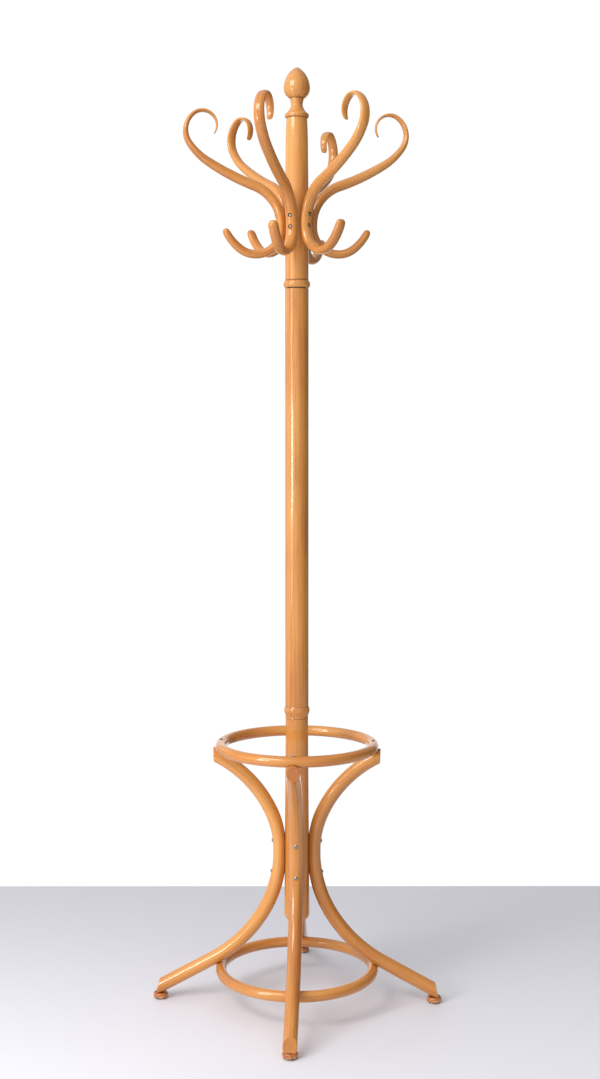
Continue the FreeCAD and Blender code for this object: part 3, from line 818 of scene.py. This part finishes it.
FINIAL = [(0, -32), (9, -32), (9, 0), (21.5, 0), (21.5, 10, 5.67, 1), (11.9, 25.5, 30, -1),
          (14.5, 39, 40, -1), (26.5, 59, 22.7, 1), (7, 97, 47, 1), (0, 100, 9.67, 1)]
HEAD_POST = [(0, 60.5), (6.05, 60.5), (6.05, 0), (24, 0), (24, 15, 10.39, 1), (23.7, 15), (23.7, 176),
             (22.7, 274), (20.8, 336, 1000, 1), (9, 336), (9, 302), (0, 302)]
MID_POST = [(0, 60), (6, 60), (6, 0), (23.7, 0), (25, 9.5, 12, -1), (24, 24, 15.6, 1), (24, 870.5),
            (6, 870.5), (6, 810.5), (0, 810.5)]
LOWER_POST = [(0, 0), (20.8, 0), (26.1, 13, 15, 1), (23.1, 419), (6, 419), (6, 359), (0, 359)]
FOOT_BUTTON = [(0, 5), (4.5, 5), (4.5, 0), (10.5, 0), (15, 4.5, 4.5, 1), (15, 8.5), (10.5, 13, 4.5, 1),
               (0, 13)]

TURNED = {
    # node: outline, height of its foot, tone, arc step, incised lines, seams to its neighbours, body
    "finial": (FINIAL, FINIAL_FOOT, 0.2, 0.4, [(39.0, 0.35, 0.7)], (0,), "head"),
    "head_post": (HEAD_POST, SWIVEL, 0.6, 0.6, [], (0, 336), "head"),
    "mid_post": (MID_POST, SPLICE, -0.3, 0.6, [], (0, 870.5), "base"),
    "lower_post": (LOWER_POST, POST_END, 0.1, 0.6, [], (419,), "base"),
}
for node, (outline, height, tone, step, scores, seams, body) in TURNED.items():
    piece = lathe(node + "_wood", outline, height, tone, step=step, scores=scores, seams=seams)
    finished(piece, turned_beech, "turned_beech", body, node)

HOOK["line"] = centre_line(HOOK)
LEG["line"] = centre_line(LEG)

# Painted shade along the lines where rods meet other pieces.
HOOK_SEAM, LEG_SEAM = 2.0, 2.5      # how wide the dark lines are where rods meet other pieces


def hook_fit(points):
    """A hook pressed against the head's post."""
    return pressed_to_post(points, head_radius)


def hook_shade(points):
    """Painted shade: a dark line where a hook meets the post, and dark floors in its screw holes."""
    painted_shade = near_post(points, head_radius, HOOK_SEAM)
    for x, z in HOOK_SCREWS:
        floor = np.hypot(points[:, 1], points[:, 2] - z) < HOOK_RECESS / 2 + 0.1
        painted_shade = np.where(floor & (np.abs(points[:, 0] - x) < 0.1), 1.0, painted_shade)
    return painted_shade


def leg_fit(points):
    """A leg pressed against the post and both rings, and flat on its foot button."""
    points = pressed_to_post(points, base_radius)
    points = pressed_to_ring(pressed_to_ring(points, UMBRELLA_RING), FOOT_RING)
    points[:, 2] = np.maximum(points[:, 2], FOOT["thickness"])
    return points


def leg_shade(points):
    """Painted shade: dark lines where a leg meets the post and the rings."""
    rings = [near_ring(points, ring, LEG_SEAM) for ring in (UMBRELLA_RING, FOOT_RING)]
    return np.maximum(near_post(points, base_radius, LEG_SEAM), np.maximum(*rings))


hook_points, hook_faces, _ = rod_mesh(HOOK, HOOK_LOW_TIP, HOOK_HIGH_TIP)
hook_points, hook_faces = bored(hook_points, hook_faces, HOOK_SCREWS, HOOK_RECESS / 2)
hook_blank = (hook_points, hook_faces, np.zeros(len(hook_points)))
leg_blank = rod_mesh(LEG, {**CUT_EDGE, "past": leg_foot_cut}, {**CUT_EDGE, "past": leg_top_cut})

random.seed(SEED)
for number, (turn, *mount) in enumerate(HOOK_MOUNTS, start=1):
    tone = random.uniform(-1, 1)
    hook = bent_rod(f"hook_{number}_wood", HOOK, hook_blank, turn, tone, hook_fit, hook_shade, mount)
    finished(hook, bent_beech, "bent_beech", "head", f"hook_{number}")
for side, turn in LEG_TURNS.items():
    tone = random.uniform(-1, 1)
    leg = bent_rod(f"{side}_leg_wood", LEG, leg_blank, turn, tone, leg_fit, leg_shade)
    finished(leg, bent_beech, "bent_beech", "base", f"{side}_leg")
    angle = math.radians(turn)
    centre = (FOOT["reach"] * math.cos(angle), FOOT["reach"] * math.sin(angle))
    tone = random.uniform(-1, 1)
    foot = lathe(f"{side}_foot_wood", FOOT_BUTTON, 0, tone, place=centre, step=0.5, sides=72,
                 seams=(FOOT["thickness"],), worn=FOOT["thickness"])
    finished(foot, foot_beech, "foot_beech", "base", f"{side}_foot")
for name, sizes, tone in (("umbrella_ring", UMBRELLA_RING, 0.4), ("foot_ring", FOOT_RING, -0.4)):
    finished(closed_ring(name + "_wood", sizes, tone), bent_beech, "bent_beech", "base", name)

LEG_PLACES = [(turn, 0, 0) for turn in LEG_TURNS.values()]
FOOT_RING_TILT = 60 - 180
tilt = math.radians(FOOT_RING_TILT)
SCREW_SEATS = {
    # node: kind, where each screw sits, the places round the post that it is repeated at, body
    "hook_screws": ("hook", [(*HOOK_SCREWS[0], 0, 20), (*HOOK_SCREWS[1], 0, 65)], HOOK_MOUNTS, "head"),
    "leg_screws": ("leg", [(51.6, 271, 0, 10), (49.2, 336, 0, 50)], LEG_PLACES, "base"),
    "umbrella_ring_screws": ("ring", [(UMBRELLA_RING["radius"],
                                       UMBRELLA_RING["height"] + RING_TUBE, 90, 30)],
                             LEG_PLACES, "base"),
    "foot_ring_screws": ("ring", [(FOOT_RING["radius"] + RING_TUBE * math.cos(tilt),
                                   FOOT_RING["height"] + RING_TUBE * math.sin(tilt), FOOT_RING_TILT, 15)],
                         LEG_PLACES, "base"),
    "foot_screws": ("foot", [(FOOT["reach"], FOOT["bore_depth"], -90, 40)], LEG_PLACES, "base"),
}
for node, (kind, seats, places, body) in SCREW_SEATS.items():
    screw_set(node, kind, seats, places, body, screw_steel)

pin_steel = dressed_node("pin_steel", linear(190, 190, 188), linear(150, 148, 144), rough=0.25, metallic=1.0,
                         scales=(900, 900, 90))
washer_nylon = dressed_node("washer_nylon", linear(70, 62, 54), linear(46, 40, 35), rough=0.4, metallic=0.0,
                            scales=(500, 500, 500))
for node, material in (("spindle", pin_steel), ("post_stud", pin_steel), ("thrust_washer", washer_nylon)):
    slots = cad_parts[node].data.materials
    slots.clear()
    slots.append(material)


# ---------------------------------------------------------------- studio and camera

CAMERA_TURN = 2.6       # degrees that the camera stands round from the front
CAMERA_PLACE = (0.1302, -2.8670, 1.138)
CAMERA_PITCH, CAMERA_PAN = -3.6, -0.127     # degrees off level, and off the line square to the wall
LENS, SENSOR = 47.15, 36                    # millimetres; the sensor's height
FLOOR_BACK = 0.766      # the floor ends this far behind the post, in metres
FLOOR_GAP = 0.0002      # between the feet and the floor
TOWARD_DAY = Vector((-0.72, -0.42, 0.55)).normalized()
SKY_DARK, SKY_BRIGHT, WALL_BRIGHT = 0.12, 0.95, 1.02
WARM, WHITE = (1.0, 0.98, 0.95), (1.0, 1.0, 1.0)
LIGHTS = {
    # name: place, target, width, height (metres), watts, colour
    "key": ((-1.7, -1.9, 3.1), (0, 0, 1.2), 1.6, 1.1, 44, WARM),
    "window": ((-1.75, -1.55, 1.2), (0, 0, 1.0), 0.4, 1.3, 8, WARM),
    "floor_pool": ((-1.5, -1.6, 1.1), (-0.8, -0.9, 0), 0.6, 0.6, 12, WHITE),
}


def studio_floor():
    """A plain pale floor that ends behind the stand, square to the camera's line; painted shade darkens it
    towards its back edge.
    """
    near, side = -5.0, 4.0
    corners = [(-side, near, 0), (side, near, 0), (side, FLOOR_BACK, 0), (-side, FLOOR_BACK, 0)]
    corners = turned_about(corners, CAMERA_TURN) - [0, 0, FLOOR_GAP]
    mesh = bpy.data.meshes.new("floor")
    mesh.from_pydata([tuple(corner) for corner in corners], [], [(0, 1, 2, 3)])
    floor = bpy.data.objects.new("floor", mesh)
    bpy.context.scene.collection.objects.link(floor)
    g = new_material("floor_paint")
    place = g.add("TexCoord", {}).outputs["Object"]
    cloud = g.noise(place, (2, 2, 2), 3, 0.5)
    grit = g.noise(place, (240, 240, 240), 2, 0.6)
    colour = g.mix(cloud, linear(231, 231, 239), linear(237, 237, 244))
    scuffs = g.span(g.noise(place, (38, 38, 38), 4, 0.65), 0.6, 0.72)
    colour = g.mix(g.maths("MULTIPLY", scuffs, 0.12), colour, linear(196, 196, 208))
    # Painted shade: the floor grows darker towards its back edge.
    depth = g.add("SeparateXYZ", {"Vector": place}).outputs["Y"]
    colour = g.mix(g.span(depth, -0.6, FLOOR_BACK), colour, linear(211, 211, 220))
    rough = g.maths("MULTIPLY_ADD", grit, 0.1, 0.55)
    mesh.materials.append(g.surface({"Base Color": colour, "Roughness": rough,
                                     "Normal": g.bump(grit, 0.05, 0.0002)}))


def studio_world():
    """Soft daylight from the front left, darker on the right, with a white wall behind the stand."""
    world = bpy.data.worlds.new("studio")
    bpy.context.scene.world = world
    g = Graph(world)
    facing = g.add("TexCoord", {}).outputs["Generated"]
    toward_day = g.add("VectorMath", {0: facing, 1: TOWARD_DAY}, operation="DOT_PRODUCT").outputs["Value"]
    toward_wall = g.add("VectorMath", {0: facing, 1: (0, 1, 0)}, operation="DOT_PRODUCT").outputs["Value"]
    sky = g.span(toward_day, -0.8, 1.0, SKY_DARK, SKY_BRIGHT)
    wall = g.span(toward_wall, 0.83, 0.93)
    strength = g.add("Mix", {0: wall, 2: sky, 3: WALL_BRIGHT}, data_type="FLOAT").outputs[0]
    background = g.add("Background", {"Color": (1, 1, 1, 1), "Strength": strength})
    g.add("OutputWorld", {"Surface": background.outputs[0]})


def area_light(name, place, target, width, height, power, colour):
    """A soft rectangular light that faces a target."""
    lamp = bpy.data.lights.new(name, "AREA")
    lamp.shape = "RECTANGLE"
    lamp.size, lamp.size_y, lamp.energy, lamp.color = width, height, power, colour
    light = bpy.data.objects.new(name, lamp)
    light.location = place
    light.rotation_euler = (Vector(target) - Vector(place)).to_track_quat("-Z", "Y").to_euler()
    bpy.context.scene.collection.objects.link(light)


def studio_camera():
    """The camera, where the photographer stood."""
    lens = bpy.data.cameras.new("camera")
    lens.sensor_fit = "VERTICAL"
    lens.sensor_height = SENSOR
    lens.lens = LENS
    camera = bpy.data.objects.new("camera", lens)
    camera.location = CAMERA_PLACE
    camera.rotation_euler = (math.radians(90 + CAMERA_PITCH), 0, math.radians(CAMERA_TURN + CAMERA_PAN))
    bpy.context.scene.collection.objects.link(camera)
    bpy.context.scene.camera = camera


studio_floor()
studio_world()
for name, settings in LIGHTS.items():
    area_light(name, *settings)
studio_camera()
bpy.context.scene.view_settings.view_transform = "Standard"
